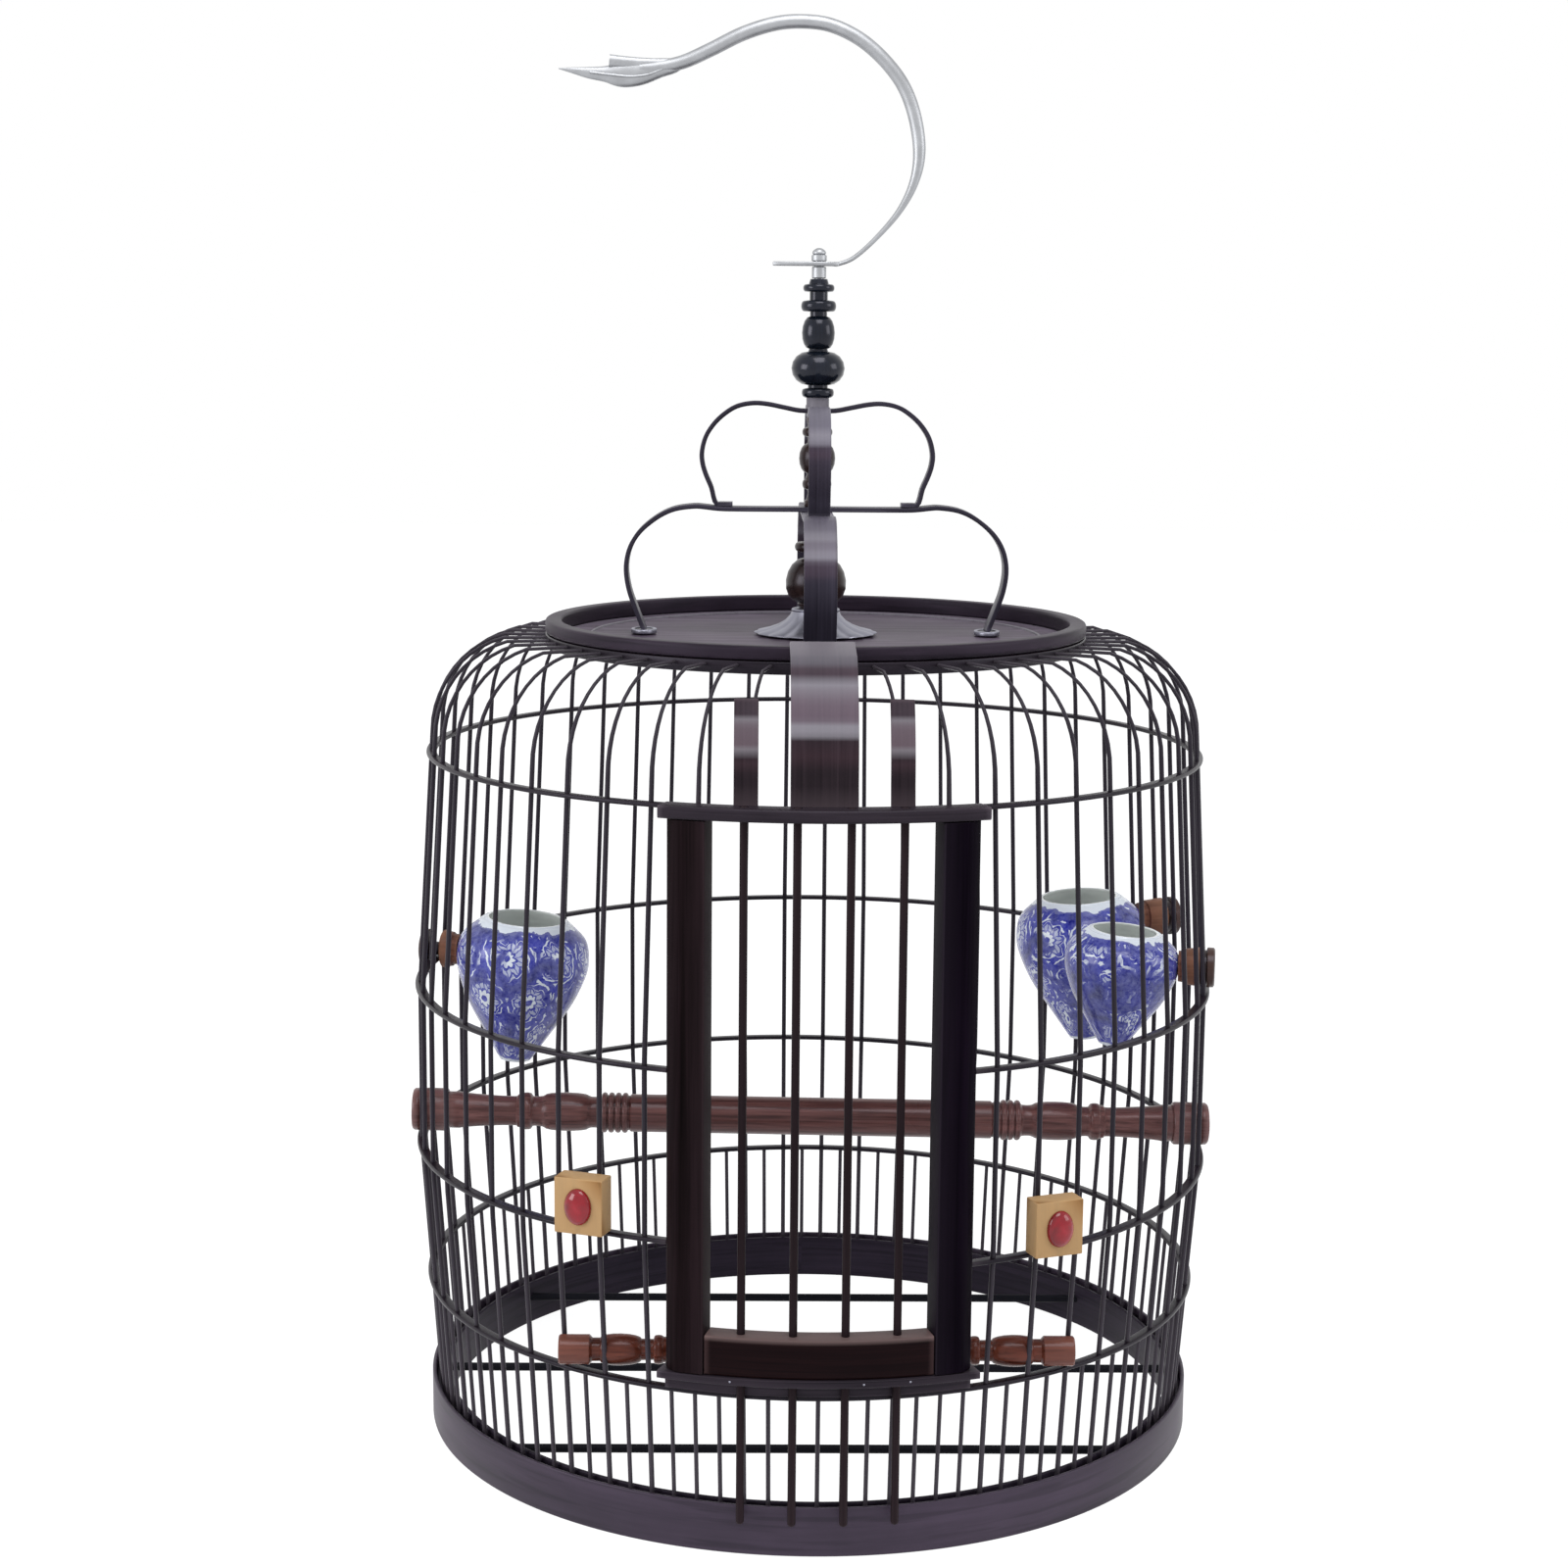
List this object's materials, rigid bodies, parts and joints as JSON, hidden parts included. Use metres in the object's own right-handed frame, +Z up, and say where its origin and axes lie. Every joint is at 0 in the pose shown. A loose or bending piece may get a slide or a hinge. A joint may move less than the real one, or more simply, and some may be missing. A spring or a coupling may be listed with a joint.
{
  "type": "hanging bird cage",
  "caption": "Round hanging songbird cage of dark splints and drilled hoops, with a lift-up barred door, crown bands, turned finial and a swivelling steel hook.",
  "frame": {"origin": "centre of the base ring's underside, on the cage's axis", "axes": "+Z up along the cage's axis, -Y towards the door, +X to the right seen from the door"},
  "size_m": [0.3493, 0.3515, 0.6007],
  "materials": {
    "dark_wood": "dark purple-brown lacquered bamboo and hardwood, satin",
    "band_wood": "dark bent-wood band, satin lacquer",
    "panel_wood": "brown-purple lacquered strip, satin",
    "black_wood": "blue-black turned hardwood, gloss lacquer",
    "spindle_wood": "turned dark red-brown hardwood, satin",
    "perch_wood": "turned red-brown hardwood, satin",
    "holder_wood": "turned mid-brown wood, satin",
    "steel": "polished bright steel",
    "porcelain": "white glazed porcelain with a cobalt blue pattern",
    "tan_block": "tan carved wood, satin",
    "red_stone": "polished red oval stone"
  },
  "bodies": {
    "cage": {"splint_cage": "dark_wood", "lower_hoop": "dark_wood", "middle_hoop": "dark_wood", "upper_hoop": "dark_wood", "shoulder_hoop": "dark_wood", "door_post_left": "dark_wood", "door_post_right": "dark_wood", "door_head_rail": "dark_wood", "door_sill": "dark_wood", "base_ring": "band_wood", "base_band": "band_wood", "lid_rim": "band_wood", "lid_board": "panel_wood", "lower_crown_side": "panel_wood", "lower_crown_front": "panel_wood", "upper_crown_side": "panel_wood", "upper_crown_front": "panel_wood", "wide_panel": "panel_wood", "narrow_panel_left": "panel_wood", "narrow_panel_right": "panel_wood", "finial": "black_wood", "floor_bar_front": "black_wood", "floor_bar_middle": "black_wood", "floor_bar_back": "black_wood", "lower_spindle": "spindle_wood", "upper_spindle": "spindle_wood", "main_perch": "perch_wood", "low_perch": "perch_wood", "cup_holder_left": "holder_wood", "cup_holder_right_front": "holder_wood", "cup_holder_right_back": "holder_wood", "hook_nut": "steel", "centre_rod": "steel", "rod_nut": "steel", "rosette": "steel", "cup_left": "porcelain", "cup_right_front": "porcelain", "cup_right_back": "porcelain", "medallion_block_left": "tan_block", "medallion_block_right": "tan_block", "medallion_stone_left": "red_stone", "medallion_stone_right": "red_stone"},
    "door": {"door": "dark_wood"},
    "hook": {"hook": "steel"}
  },
  "joints": [
    {"name": "door_slide", "type": "slide", "parent": "cage", "child": "door", "axis": [0, 0, 1], "range_m": [0, 0.198]},
    {"name": "hook_swivel", "type": "hinge", "parent": "cage", "child": "hook", "pos_m": [0, 0, 0.4988], "axis": [0, 0, 1], "continuous": true}
  ]
}
